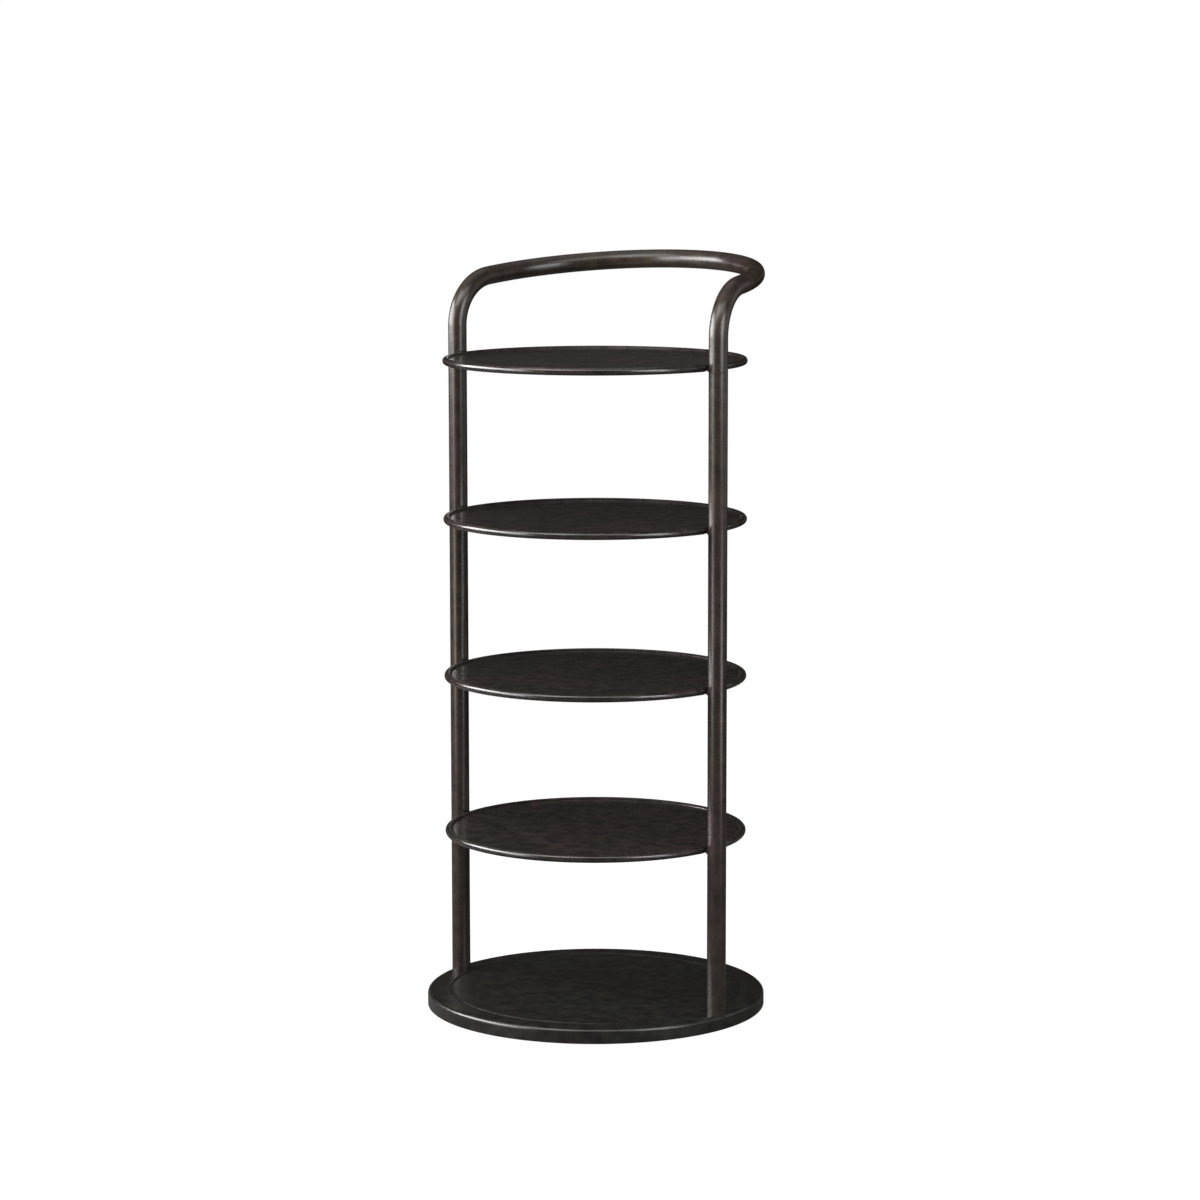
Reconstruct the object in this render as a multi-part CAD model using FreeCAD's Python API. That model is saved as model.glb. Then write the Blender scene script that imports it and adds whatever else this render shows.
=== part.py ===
import FreeCAD, Part
import math
import os

from FreeCAD import Vector

# Round shoe rack: four round pans over a thicker, larger round base, carried by two tube
# posts that stand just outside the pans. A bent tube hoop joins the posts round the back,
# above the top pan. Millimetres and degrees, +Z up, the front is -Y. The origin is on the
# floor, on the axis of the pans.

# Tube of the posts and of the hoop
tube_radius = 9.5
tube_wall = 1.0

# Pans: pressed sheet with a rim rolled to a round bead
pan_radius = 153.5
pan_sheet = 1.0
rim_radius = 3.75
pan_depth = 2.5
pan_corner_radius = 1.2
shelf_count = 4
lowest_shelf_height = 182.0
shelf_pitch = 160.0

# Posts: how far in front of the pans' axis they stand, and the gap to the rims
post_forward = 17.6
post_rim_gap = 0.2

# Base: a pressed cover over a board, standing on rubber pads. Its side is flush with the
# outer sides of the posts, and a ring is pressed into its top as a shallow groove. The feet
# of the posts are coped: each reaches down over the cover's rounded edge by the cope
base_height = 16.0
base_edge_radius = 4.0
base_sheet = 1.2
base_floor_gap = 1.0
foot_cope = 3.0
ring_inset = 24.5
ring_depth = 1.2
ring_bend_radius = 2.0
ring_clearance = 0.4
board_thickness = 12.0
board_gap = 0.3
pad_count = 5
pad_radius = 10.0
pad_inset = 22.7
pad_edge_radius = 0.8

# Tabs welded to the tubes, which pass under the rims through notches and carry the pans
tab_width = 12.0
tab_thickness = 3.0
tab_length = 44.0
tab_notch_gap = 0.3

# Countersunk screws through the pan's floor into the tab: the outermost lies in from the
# pan's edge, the innermost in from the tab's tip
pan_screw_radius = 2.5
pan_screw_head_radius = 4.6
pan_screw_length = 6.0
pan_screw_inset = 18.0
pan_screw_tip_inset = 10.0
pan_screw_count = 2
screw_hole_gap = 0.15
socket_radius = 1.5
socket_depth = 1.2

# Foot joint: a threaded plug in each post, and a bolt and washer from below
plug_height = 15.0
foot_bolt_radius = 4.0
foot_bolt_length = 20.0
foot_bolt_head_radius = 6.5
foot_bolt_head_height = 5.0
foot_bolt_socket_radius = 3.0
foot_bolt_socket_depth = 3.0
foot_washer_radius = 8.0
foot_washer_thickness = 1.6
counterbore_radius = 9.0
counterbore_depth = 8.0

# Hoop: two upright legs, a bend on each, and a ring stretch round the back. The leg is the
# straight length above the joint. The ring's plane tilts up to the back, and where the ring
# starts it runs inward by the toe-in
hoop_leg = 33.0
hoop_bend_radius = 50.0
hoop_tilt = 6.7
hoop_toe_in = 7.4

# Spigots in the hoop's legs, which slip into the posts, and the screws that lock them
spigot_gap = 0.1
spigot_wall = 2.0
spigot_in_post = 40.0
spigot_bend_gap = 7.0
lock_screw_drop = 20.0
lock_screw_radius = 2.5
lock_screw_length = 7.0
lock_screw_head_radius = 4.5
lock_screw_head_height = 2.4

# Reach of a cutting solid past the face that it cuts
overrun = 1.0

# Places worked out from the sizes above
up = Vector(0, 0, 1)
backward = Vector(0, 1, 0)
tube_bore = tube_radius - tube_wall
post_circle_radius = pan_radius + post_rim_gap + tube_radius
post_side = math.sqrt(post_circle_radius ** 2 - post_forward ** 2)
base_radius = post_circle_radius + tube_radius
pad_circle_radius = base_radius - pad_inset
ring_radius = base_radius - ring_inset
tab_tip_distance = pan_radius + post_rim_gap - tab_length
board_bottom = base_height - base_sheet - board_thickness
shelf_heights = [lowest_shelf_height + shelf_pitch * tier for tier in range(shelf_count)]
joint_height = shelf_heights[-1] - rim_radius
sides = {"left": -1, "right": 1}


def floor_top(rim_height):
    """Height of a pan's floor, on top, for the height of the centre of its rim."""
    return rim_height + rim_radius - pan_depth


def floor_bottom(rim_height):
    return floor_top(rim_height) - pan_sheet


def post_axis(side, height):
    """Point on a post's axis at a height."""
    return Vector(sides[side] * post_side, -post_forward, height)


def inward(side):
    """Level direction from a post to the pans' axis."""
    return Vector(-sides[side] * post_side, post_forward, 0).normalize()


def cylinder(radius, height, foot, direction=up):
    return Part.makeCylinder(radius, height, foot, direction)


def tube(radius, wall, height, foot):
    bore = cylinder(radius - wall, height + 2 * overrun, foot - up * overrun)
    return cylinder(radius, height, foot).cut(bore)


def revolved(edges):
    """Solid of revolution about the Z axis from edges in the XZ plane."""
    return Part.Face(Part.Wire(edges)).revolve(Vector(0, 0, 0), up, 360)


def line(start, end):
    return Part.LineSegment(start, end).toShape()


def arc(start, middle, end):
    return Part.Arc(start, middle, end).toShape()


def radial_plate(side, width, inner, outer, bottom, top):
    """Level bar along the line from the pans' axis to a post, between two distances."""
    reach = inward(side) * -1
    plate = Part.makeBox(outer - inner, width, top - bottom, Vector(inner, -width / 2, bottom))
    angle = math.degrees(math.atan2(reach.y, reach.x))
    plate.rotate(Vector(0, 0, 0), up, angle)
    return plate


def screw_places(side):
    """Level points along a tab, evenly spaced, one for each of its screws."""
    reach = inward(side) * -1
    outermost = pan_radius - pan_screw_inset
    innermost = tab_tip_distance + pan_screw_tip_inset
    spacing = (outermost - innermost) / (pan_screw_count - 1)
    return [reach * (outermost - spacing * place) for place in range(pan_screw_count)]


def countersunk(radius, head_radius, length, head_top, place):
    """Shank with a 90 degree head, its flat top at a height, pointing down."""
    head_height = head_radius - radius
    head = Part.makeCone(radius, head_radius, head_height, place + up * (head_top - head_height))
    shank = cylinder(radius, length, place + up * (head_top - length))
    return shank.fuse(head).removeSplitter()


def pan(rim_height):
    """Shallow dish: flat floor, small inner corner and a round bead, notched under for the tabs."""
    bead_centre = Vector(pan_radius - rim_radius, 0, rim_height)
    top = floor_top(rim_height)
    bottom = floor_bottom(rim_height)

    # The inner corner is tangent to the floor and to the bead
    corner_rise = top + pan_corner_radius - rim_height
    corner_run = math.sqrt((rim_radius + pan_corner_radius) ** 2 - corner_rise ** 2)
    corner_centre = Vector(bead_centre.x - corner_run, 0, top + pan_corner_radius)
    to_corner = (corner_centre - bead_centre).normalize()
    corner_on_bead = bead_centre + to_corner * rim_radius
    corner_on_floor = corner_centre - up * pan_corner_radius
    corner_middle = corner_centre - (to_corner + up).normalize() * pan_corner_radius

    # The bead leaves the floor's underside and ends at the inner corner
    under_run = math.sqrt(rim_radius ** 2 - (bottom - rim_height) ** 2)
    under = Vector(bead_centre.x - under_run, 0, bottom)
    outermost = bead_centre + Vector(rim_radius, 0, 0)

    axis_bottom = Vector(0, 0, bottom)
    axis_top = Vector(0, 0, top)
    body = revolved([
        line(axis_bottom, under),
        arc(under, outermost, corner_on_bead),
        arc(corner_on_bead, corner_middle, corner_on_floor),
        line(corner_on_floor, axis_top),
        line(axis_top, axis_bottom),
    ])

    cuts = []
    for side in sides:
        notch_width = tab_width + 2 * tab_notch_gap
        notch_inner = pan_radius - 2 * rim_radius - overrun
        notch_outer = pan_radius + overrun
        notch_low = rim_height - rim_radius - overrun
        cuts.append(radial_plate(side, notch_width, notch_inner, notch_outer, notch_low, bottom))
        for place in screw_places(side):
            hole_radius = pan_screw_radius + screw_hole_gap
            head_radius = pan_screw_head_radius + screw_hole_gap
            cuts.append(countersunk(hole_radius, head_radius, pan_screw_length, top, place))
    return body.cut(cuts)


def tab(side, rim_height):
    """Bar welded to a tube: hollow end round the tube, round end under the pan."""
    top = floor_bottom(rim_height)
    bottom = top - tab_thickness
    round_distance = tab_tip_distance + tab_width / 2
    bar = radial_plate(side, tab_width, round_distance, post_circle_radius, bottom, top)
    tip = cylinder(tab_width / 2, tab_thickness, inward(side) * -round_distance + up * bottom)
    seat = cylinder(tube_radius, tab_thickness + 2 * overrun, post_axis(side, bottom - overrun))
    plate = bar.fuse(tip).removeSplitter().cut(seat)
    holes = [
        countersunk(
            pan_screw_radius + screw_hole_gap,
            pan_screw_head_radius + screw_hole_gap,
            pan_screw_length,
            floor_top(rim_height),
            place,
        )
        for place in screw_places(side)
    ]
    return plate.cut(holes)


def hex_socket(radius, depth, foot, direction=up):
    """Six-sided key socket, as a cutting solid."""
    corners = [
        Vector(radius * math.cos(math.radians(turn)), radius * math.sin(math.radians(turn)), 0)
        for turn in range(0, 420, 60)
    ]
    prism = Part.Face(Part.makePolygon(corners)).extrude(up * depth)
    prism.Placement = FreeCAD.Placement(foot, FreeCAD.Rotation(up, direction))
    return prism


def pan_screws(rim_height):
    """The screws that hold one pan on its two tabs."""
    screws = []
    top = floor_top(rim_height)
    for side in sides:
        for place in screw_places(side):
            screw = countersunk(
                pan_screw_radius, pan_screw_head_radius, pan_screw_length, top, place
            )
            socket = hex_socket(socket_radius, socket_depth, place + up * (top - socket_depth))
            screws.append(screw.cut(socket))
    return Part.makeCompound(screws)


def ring_turn():
    """Angle that each bend of the ring groove turns through."""
    return math.acos(1 - ring_depth / (2 * ring_bend_radius))


def ring_half_width():
    return 2 * ring_bend_radius * math.sin(ring_turn())


def ring_groove(sheet_depth):
    """Section of the ring groove from its outer end in, on a face at a depth in the sheet."""
    turn = ring_turn()
    lip_radius = ring_bend_radius - sheet_depth
    bed_radius = ring_bend_radius + sheet_depth
    lip_height = base_height - ring_bend_radius
    bed_height = base_height - ring_depth + ring_bend_radius

    def swung(centre, radius, angle):
        return centre + Vector(math.sin(angle), 0, math.cos(angle)) * radius

    outer_lip = Vector(ring_radius + ring_half_width(), 0, lip_height)
    inner_lip = Vector(ring_radius - ring_half_width(), 0, lip_height)
    bed = Vector(ring_radius, 0, bed_height)
    ends = [
        swung(outer_lip, lip_radius, 0),
        swung(outer_lip, lip_radius, -turn),
        swung(inner_lip, lip_radius, turn),
        swung(inner_lip, lip_radius, 0),
    ]
    return [
        arc(ends[0], swung(outer_lip, lip_radius, -turn / 2), ends[1]),
        arc(ends[1], swung(bed, bed_radius, math.pi), ends[2]),
        arc(ends[2], swung(inner_lip, lip_radius, turn / 2), ends[3]),
    ]


def filled_cap(sheet_depth, bottom):
    """The base's outside as a filled solid, or its inside at a depth in the sheet."""
    radius = base_radius - sheet_depth
    edge_radius = base_edge_radius - sheet_depth
    top = base_height - sheet_depth
    edge_centre = Vector(radius - edge_radius, 0, top - edge_radius)
    edge_middle = edge_centre + Vector(1, 0, 1).normalize() * edge_radius
    ring_outer = Vector(ring_radius + ring_half_width(), 0, top)
    ring_inner = Vector(ring_radius - ring_half_width(), 0, top)
    return revolved([
        line(Vector(0, 0, bottom), Vector(radius, 0, bottom)),
        line(Vector(radius, 0, bottom), Vector(radius, 0, edge_centre.z)),
        arc(Vector(radius, 0, edge_centre.z), edge_middle, Vector(edge_centre.x, 0, top)),
        line(Vector(edge_centre.x, 0, top), ring_outer),
        *ring_groove(sheet_depth),
        line(ring_inner, Vector(0, 0, top)),
        line(Vector(0, 0, top), Vector(0, 0, bottom)),
    ])


def base_cover():
    """Pressed cap: flat top with a ring groove, rounded edge and a short skirt, open below."""
    outside = filled_cap(0, base_floor_gap)
    inside = filled_cap(base_sheet, base_floor_gap - overrun)
    hole_height = base_sheet + 2 * overrun
    hole_foot = base_height - base_sheet - overrun
    hole_radius = foot_bolt_radius + screw_hole_gap
    holes = [cylinder(hole_radius, hole_height, post_axis(side, hole_foot)) for side in sides]
    return outside.cut(inside).cut(holes)


def base_board():
    """Round board inside the cover, its top edge and a ring eased to clear the pressing."""
    radius = base_radius - base_sheet - board_gap
    ease = base_edge_radius
    top = board_bottom + board_thickness
    body = revolved([
        line(Vector(0, 0, board_bottom), Vector(radius, 0, board_bottom)),
        line(Vector(radius, 0, board_bottom), Vector(radius, 0, top - ease)),
        line(Vector(radius, 0, top - ease), Vector(radius - ease, 0, top)),
        line(Vector(radius - ease, 0, top), Vector(0, 0, top)),
        line(Vector(0, 0, top), Vector(0, 0, board_bottom)),
    ])
    ring_relief = ring_depth + ring_clearance
    ring_reach = ring_half_width() + ring_clearance
    relief_foot = up * (top - ring_relief)
    relief = tube(ring_radius + ring_reach, 2 * ring_reach, ring_relief + overrun, relief_foot)
    cuts = [relief]
    for side in sides:
        hole_radius = foot_bolt_radius + screw_hole_gap
        hole_height = board_thickness + 2 * overrun
        cuts.append(cylinder(hole_radius, hole_height, post_axis(side, board_bottom - overrun)))
        recess_height = counterbore_depth + overrun
        recess_foot = post_axis(side, board_bottom - overrun)
        cuts.append(cylinder(counterbore_radius, recess_height, recess_foot))
        # The outer side of the recess breaks out through the board's edge as a notch
        notch_outer = base_radius
        cuts.append(radial_plate(
            side,
            2 * counterbore_radius,
            post_circle_radius,
            notch_outer,
            board_bottom - overrun,
            board_bottom + counterbore_depth,
        ))
    return body.cut(cuts)


def base_pad(number):
    """Rubber pad stuck under the board, eased at its lower edge."""
    turn = math.radians(90 + 360 / pad_count * number)
    centre = Vector(math.cos(turn), math.sin(turn), 0) * pad_circle_radius
    pad = cylinder(pad_radius, board_bottom, centre)
    rim = [edge for edge in pad.Edges if edge.BoundBox.ZMax < board_bottom / 2]
    return pad.makeChamfer(pad_edge_radius, rim)


def post(side):
    """Straight tube to just under the top pan's rim, its foot coped to the base's edge."""
    lowest = base_height - foot_cope
    body = tube(tube_radius, tube_wall, joint_height - lowest, post_axis(side, lowest))
    return body.cut([filled_cap(0, base_floor_gap), lock_screw_hole(side)])


def lock_screw_hole(side):
    """Hole from a post's axis out through its back, for the screw that locks the hoop."""
    foot = post_axis(side, joint_height - lock_screw_drop)
    hole_radius = lock_screw_radius + screw_hole_gap
    return cylinder(hole_radius, tube_radius + overrun, foot, backward)


def post_plug(side):
    """Threaded plug welded into the foot of a post, flush with the base's top."""
    body = cylinder(tube_bore, plug_height, post_axis(side, base_height))
    bore_height = plug_height + 2 * overrun
    bore = cylinder(foot_bolt_radius, bore_height, post_axis(side, base_height - overrun))
    return body.cut(bore)


def foot_washers():
    seat = board_bottom + counterbore_depth - foot_washer_thickness
    rings = [
        tube(
            foot_washer_radius,
            foot_washer_radius - foot_bolt_radius - screw_hole_gap,
            foot_washer_thickness,
            post_axis(side, seat),
        )
        for side in sides
    ]
    return Part.makeCompound(rings)


def foot_bolts():
    """Bolts that pull the posts down on the base, heads in the board's recesses."""
    head_top = board_bottom + counterbore_depth - foot_washer_thickness
    head_bottom = head_top - foot_bolt_head_height
    bolts = []
    for side in sides:
        foot = post_axis(side, head_bottom)
        head = cylinder(foot_bolt_head_radius, foot_bolt_head_height, foot)
        shank = cylinder(foot_bolt_radius, foot_bolt_length, post_axis(side, head_top))
        socket = hex_socket(foot_bolt_socket_radius, foot_bolt_socket_depth, foot)
        bolts.append(head.fuse(shank).cut(socket))
    return Part.makeCompound(bolts)


def hoop_path():
    """Centre line of the hoop: leg, bend, ring stretch round the back, bend and leg."""
    tilt = math.radians(hoop_tilt)
    toe_in = math.radians(hoop_toe_in)
    across = Vector(1, 0, 0)
    slope = Vector(0, math.cos(tilt), math.sin(tilt))

    # The leg's line and the start of the ring would meet at the corner that the bend rounds
    to_ring = slope * math.cos(toe_in) - across * math.sin(toe_in)
    half_angle = to_ring.getAngle(up * -1) / 2
    tangent_length = hoop_bend_radius / math.tan(half_angle)
    leg_end = post_axis("right", joint_height)
    bend_start = leg_end + up * hoop_leg
    corner = bend_start + up * tangent_length
    bend_end = corner + to_ring * tangent_length
    into_bend = (to_ring - up).normalize()
    bend_centre = corner + into_bend * (hoop_bend_radius / math.sin(half_angle))
    bend_middle = bend_centre - into_bend * hoop_bend_radius

    # The ring leaves the bend in line with it, and its centre is midway between the legs
    ring_radius = bend_end.x / math.cos(toe_in)
    to_centre = (across * math.cos(toe_in) + slope * math.sin(toe_in)) * -1
    ring_back = bend_end + to_centre * ring_radius + slope * ring_radius

    def other_side(point):
        return Vector(-point.x, point.y, point.z)

    return Part.Wire([
        line(leg_end, bend_start),
        arc(bend_start, bend_middle, bend_end),
        arc(bend_end, ring_back, other_side(bend_end)),
        arc(other_side(bend_end), other_side(bend_middle), other_side(bend_start)),
        line(other_side(bend_start), other_side(leg_end)),
    ])


def hoop():
    """Bent tube handle, its two legs standing on the posts."""
    path = hoop_path()
    foot = post_axis("right", joint_height)
    outer = Part.Wire(Part.makeCircle(tube_radius, foot, up))
    inner = Part.Wire(Part.makeCircle(tube_bore, foot, up))
    solid = path.makePipe(Part.Face(outer))
    bore = path.makePipe(Part.Face(inner))
    return solid.cut(bore)


def spigot(side):
    """Sleeve fixed in a leg of the hoop, ending below its bend, which slips into the post."""
    radius = tube_bore - spigot_gap
    foot = post_axis(side, joint_height - spigot_in_post)
    sleeve = tube(radius, spigot_wall, spigot_in_post + hoop_leg - spigot_bend_gap, foot)
    return sleeve.cut(lock_screw_hole(side))


def lock_screws():
    """Button-head screws at the back of the posts, into the spigots."""
    screws = []
    for side in sides:
        seat = post_axis(side, joint_height - lock_screw_drop) + backward * tube_radius
        tip = seat - backward * lock_screw_length
        shank = cylinder(lock_screw_radius, lock_screw_length, tip, backward)
        crown = lock_screw_head_radius - lock_screw_head_height / 2
        head = Part.makeCone(
            lock_screw_head_radius, crown, lock_screw_head_height, seat, backward
        )
        socket_foot = seat + backward * (lock_screw_head_height - socket_depth)
        socket = hex_socket(socket_radius, socket_depth, socket_foot, backward)
        screws.append(shank.fuse(head).cut(socket))
    return Part.makeCompound(screws)


def build():
    """Every sub-part under the name of its file."""
    parts = {
        "base_cover": base_cover(),
        "base_board": base_board(),
        "foot_bolts": foot_bolts(),
        "foot_washers": foot_washers(),
        "handle_hoop": hoop(),
        "hoop_lock_screws": lock_screws(),
    }
    for number in range(pad_count):
        parts["base_pad_%d" % (number + 1)] = base_pad(number)
    for tier, height in enumerate(shelf_heights, start=1):
        parts["shelf_pan_%d" % tier] = pan(height)
        parts["shelf_screws_%d" % tier] = pan_screws(height)
    for side in sides:
        parts["post_" + side] = post(side)
        parts["post_plug_" + side] = post_plug(side)
        parts["hoop_spigot_" + side] = spigot(side)
        for tier, height in enumerate(shelf_heights, start=1):
            parts["shelf_tab_%d_%s" % (tier, side)] = tab(side, height)
    return parts


os.makedirs("parts", exist_ok=True)
for name, shape in build().items():
    shape.exportStep("parts/%s.step" % name)
    print(name, len(shape.Solids), "solids", round(shape.Volume), "mm3", shape.isValid())
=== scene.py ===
import math

import bmesh
import bpy
from mathutils import Matrix, Vector


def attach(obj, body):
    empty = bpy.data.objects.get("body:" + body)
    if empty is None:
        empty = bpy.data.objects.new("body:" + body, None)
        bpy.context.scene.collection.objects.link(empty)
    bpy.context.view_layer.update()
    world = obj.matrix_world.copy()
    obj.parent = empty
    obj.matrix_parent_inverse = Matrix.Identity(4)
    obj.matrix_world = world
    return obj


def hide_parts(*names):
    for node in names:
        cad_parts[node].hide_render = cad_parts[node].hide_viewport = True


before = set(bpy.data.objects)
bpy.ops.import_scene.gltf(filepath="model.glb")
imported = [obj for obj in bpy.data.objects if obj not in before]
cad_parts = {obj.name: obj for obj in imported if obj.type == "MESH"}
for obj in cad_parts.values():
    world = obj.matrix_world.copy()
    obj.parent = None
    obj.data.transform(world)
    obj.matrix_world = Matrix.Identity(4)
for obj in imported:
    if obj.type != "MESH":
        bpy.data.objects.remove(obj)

# Round shoe rack: four round pans over a thicker round base, carried by two tube posts and
# finished by a bent tube hoop. Metres, +Z up, the front is -Y. The sizes are those of the
# part's source

MM = 0.001
UP = Vector((0, 0, 1))
BACKWARD = Vector((0, 1, 0))
SIDES = {"left": -1, "right": 1}
BODY = "root"
UNTURNED = (0, 0, 0)
HEAD_BACKWARD = (-math.pi / 2, 0, 0)
HEAD_DOWN = (math.pi, 0, 0)

# Tube of the posts and of the hoop, and the small chamfer on its cut ends
TUBE_RADIUS = 9.5 * MM
TUBE_CHAMFER = 0.25 * MM
TUBE_SIDES = 112

# Pans
PAN_RADIUS = 153.5 * MM
PAN_SHEET = 1.0 * MM
RIM_RADIUS = 3.75 * MM
PAN_DEPTH = 2.5 * MM
PAN_CORNER_RADIUS = 1.2 * MM
PAN_SEGMENTS = 256
ROLL_END_TURN = -168
SHELF_COUNT = 4
LOWEST_SHELF = 182.0 * MM
SHELF_PITCH = 160.0 * MM

# Posts
POST_FORWARD = 17.6 * MM
POST_RIM_GAP = 0.2 * MM

# Base
BASE_HEIGHT = 16.0 * MM
BASE_EDGE_RADIUS = 4.0 * MM
BASE_SHEET = 1.2 * MM
BASE_FLOOR_GAP = 1.0 * MM
FOOT_COPE = 3.0 * MM
RING_INSET = 24.5 * MM
RING_DEPTH = 1.2 * MM
RING_BEND = 2.0 * MM
BOARD_THICKNESS = 12.0 * MM
PAD_COUNT = 5
PAD_RADIUS = 10.0 * MM
PAD_INSET = 22.7 * MM
PAD_EDGE = 0.8 * MM
PAD_GROOVE = 0.35 * MM
PAD_GROOVE_SHARES = (0.35, 0.68)

# Tabs and the screws in them
TAB_WIDTH = 12.0 * MM
TAB_THICKNESS = 3.0 * MM
TAB_LENGTH = 44.0 * MM
TAB_NOTCH_GAP = 0.3 * MM
TAB_EDGE = 0.3 * MM
TAB_EDGE_SEGMENTS = 2
ROUND_PROFILE = 0.5
SCREW_RADIUS = 2.5 * MM
SCREW_HEAD_RADIUS = 4.6 * MM
SCREW_LENGTH = 6.0 * MM
SCREW_INSET = 18.0 * MM
SCREW_TIP_INSET = 10.0 * MM
SCREW_HOLE_GAP = 0.15 * MM
SCREW_EDGE = 0.12 * MM
THREAD_PITCH = 0.8 * MM
THREAD_DEPTH = 0.25 * MM
SOCKET_RADIUS = 1.5 * MM
SOCKET_DEPTH = 1.2 * MM
SOCKET_SIDES = 6

# Foot bolts
BOLT_RADIUS = 4.0 * MM
BOLT_LENGTH = 20.0 * MM
BOLT_HEAD_RADIUS = 6.5 * MM
BOLT_HEAD_HEIGHT = 5.0 * MM
BOLT_SOCKET_RADIUS = 3.0 * MM
BOLT_SOCKET_DEPTH = 3.0 * MM
BOLT_WASHER = 1.6 * MM
BOLT_RECESS = 8.0 * MM
BOLT_EDGE = 0.5 * MM

# Hoop
HOOP_LEG = 33.0 * MM
HOOP_BEND_RADIUS = 50.0 * MM
HOOP_TILT = math.radians(6.7)
HOOP_TOE_IN = math.radians(7.4)
HOOP_BEND_STEPS = 36
HOOP_RING_STEPS = 160

# Lock screws
LOCK_DROP = 20.0 * MM
LOCK_RADIUS = 2.5 * MM
LOCK_LENGTH = 7.0 * MM
LOCK_HEAD_RADIUS = 4.5 * MM
LOCK_HEAD_HEIGHT = 2.4 * MM

# Welds under the tabs, rows of beads that are shorter than wide and of uneven size
WELD_RADIUS = 0.9 * MM
WELD_SPACING = 0.7 * MM
WELD_OFFSET = WELD_RADIUS / 4
WELD_SHORTENING = 0.7
WELD_UNEVENNESS = 0.12
WELD_SEED = 4
WELD_BEAD_SUBDIVISIONS = 2

# Steps of the curved stretches in the sections and outlines
ROLL_EDGE_STEPS = 4
RIM_STEPS = 40
PAN_CORNER_STEPS = 12
DOME_STEPS = 10
TAB_TIP_STEPS = 20
TAB_COPE_STEPS = 16
WELD_LINE_STEPS = 24
RING_LIP_STEPS = 6
RING_BED_STEPS = 12
BASE_EDGE_STEPS = 18
BASE_INNER_EDGE_STEPS = 10
SKIRT_STEPS = 8
PAD_EDGE_STEPS = 6

# Segments of the small turned pieces
SCREW_SEGMENTS = 40
BOLT_SEGMENTS = 48
PAD_SEGMENTS = 64

# Turns in degrees above which an edge stays sharp, and how upright a level face's normal is
CREASE = 40
SMALL_PIECE_CREASE = 30
TAB_CREASE = 50
WELD_CREASE = 60
LEVEL_NORMAL = 0.99999

# Worked out from the sizes above
POST_CIRCLE = PAN_RADIUS + POST_RIM_GAP + TUBE_RADIUS
POST_SIDE = math.sqrt(POST_CIRCLE ** 2 - POST_FORWARD ** 2)
BASE_RADIUS = POST_CIRCLE + TUBE_RADIUS
BOARD_BOTTOM = BASE_HEIGHT - BASE_SHEET - BOARD_THICKNESS
RING_RADIUS = BASE_RADIUS - RING_INSET
SHELVES = [LOWEST_SHELF + SHELF_PITCH * tier for tier in range(SHELF_COUNT)]
PANS = {"shelf_pan_%d" % tier: height for tier, height in enumerate(SHELVES, start=1)}
JOINT = SHELVES[-1] - RIM_RADIUS
FLOOR_TOP = RIM_RADIUS - PAN_DEPTH
FLOOR_BOTTOM = FLOOR_TOP - PAN_SHEET

# Points closer than this are one
SMALL = 0.001 * MM

# How far a cutter stands out of what it cuts, and the notches reach into the pans' floor
OVERRUN = 1.0 * MM
NOTCH_BITE = 20 * SMALL

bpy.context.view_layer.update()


# Meshes

def new_object(name, mesh):
    """Object for a mesh, in the scene."""
    piece = bpy.data.objects.new(name, mesh)
    bpy.context.scene.collection.objects.link(piece)
    return piece


def point_mesh(name, points, edges=()):
    """Mesh of points, such as the places of copies."""
    mesh = bpy.data.meshes.new(name)
    mesh.from_pydata([tuple(point) for point in points], edges, [])
    return mesh


def line_mesh(name, points):
    """Mesh of points joined in a row."""
    return point_mesh(name, points, [(place, place + 1) for place in range(len(points) - 1)])


def arc_points(centre, radius, start, end, steps):
    """Points of (distance from the axis, height) on an arc, turns in degrees."""
    points = []
    for place in range(steps + 1):
        turn = math.radians(start + (end - start) * place / steps)
        points.append((centre[0] + radius * math.cos(turn), centre[1] + radius * math.sin(turn)))
    return points


def drop_doubles(points):
    """The points without those that lie on the one before."""
    kept = [points[0]]
    for point in points[1:]:
        if math.dist(point, kept[-1]) > SMALL:
            kept.append(point)
    return kept


# Geometry Nodes

DRAWN_ALONG = "drawn_along"


def start_tree(name, sizes):
    """New tree with a geometry input, the named sizes and a finish, and its input node."""
    tree = bpy.data.node_groups.new(name, "GeometryNodeTree")
    tree.interface.new_socket("Geometry", in_out="INPUT", socket_type="NodeSocketGeometry")
    for label, kind in sizes:
        tree.interface.new_socket(label, in_out="INPUT", socket_type="NodeSocket" + kind)
    tree.interface.new_socket("Finish", in_out="INPUT", socket_type="NodeSocketMaterial")
    tree.interface.new_socket("Geometry", in_out="OUTPUT", socket_type="NodeSocketGeometry")
    return tree, tree.nodes.new("NodeGroupInput")


def step(tree, kind, inputs=None, **settings):
    """Adds a node. An input is a value or another node's output socket."""
    node = tree.nodes.new(kind)
    for name, value in settings.items():
        setattr(node, name, value)
    for key, value in (inputs or {}).items():
        socket = node.inputs[key]
        if isinstance(value, bpy.types.NodeSocket):
            tree.links.new(value, socket)
        else:
            socket.default_value = value
    return node


def end_tree(tree, given, geometry):
    """Makes copies real, sets the finish and closes the tree."""
    real = step(tree, "GeometryNodeRealizeInstances", {"Geometry": geometry})
    finished = step(tree, "GeometryNodeSetMaterial", {
        "Geometry": real.outputs["Geometry"],
        "Material": given.outputs["Finish"],
    })
    step(tree, "NodeGroupOutput", {"Geometry": finished.outputs["Geometry"]})
    return tree


def maths(tree, operation, first, second=0.0):
    """Result of a sum, product or other operation on one or two values."""
    node = step(tree, "ShaderNodeMath", {0: first, 1: second}, operation=operation)
    return node.outputs["Value"]


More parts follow.
